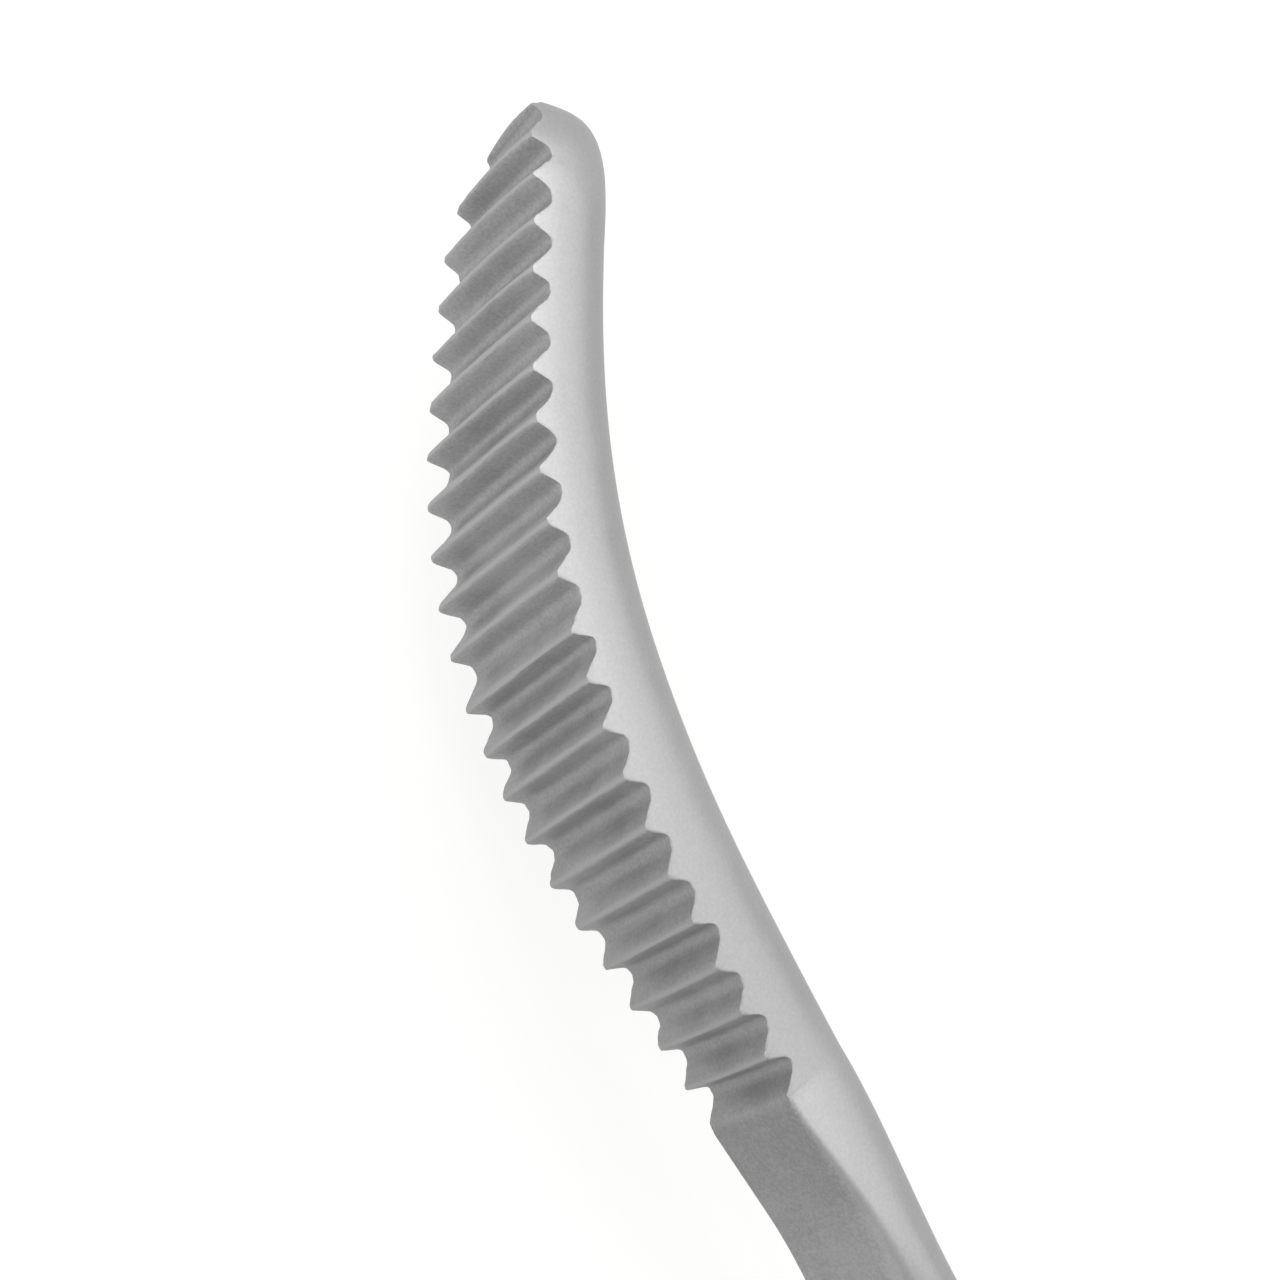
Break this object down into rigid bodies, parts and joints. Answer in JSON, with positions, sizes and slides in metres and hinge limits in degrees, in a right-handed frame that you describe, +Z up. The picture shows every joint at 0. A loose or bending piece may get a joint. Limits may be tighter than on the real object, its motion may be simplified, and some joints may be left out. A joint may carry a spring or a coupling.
{
  "type": "bone file",
  "caption": "One-piece steel bone file: a curved half-round blade with slanting file teeth on its convex face, a slim round shank and a plain octagonal handle.",
  "frame": {"origin": "under the middle of the bounding box, on the surface that the handle's lower flat rests on", "axes": "+X along the handle, away from the blade; +Z up from the resting flat; the toothed face looks towards -Y"},
  "size_m": [0.171, 0.0118, 0.008],
  "materials": {
    "satin_steel": "satin, fine bead blast"
  },
  "bodies": {
    "root": {"bone_file": "satin_steel"}
  },
  "joints": []
}
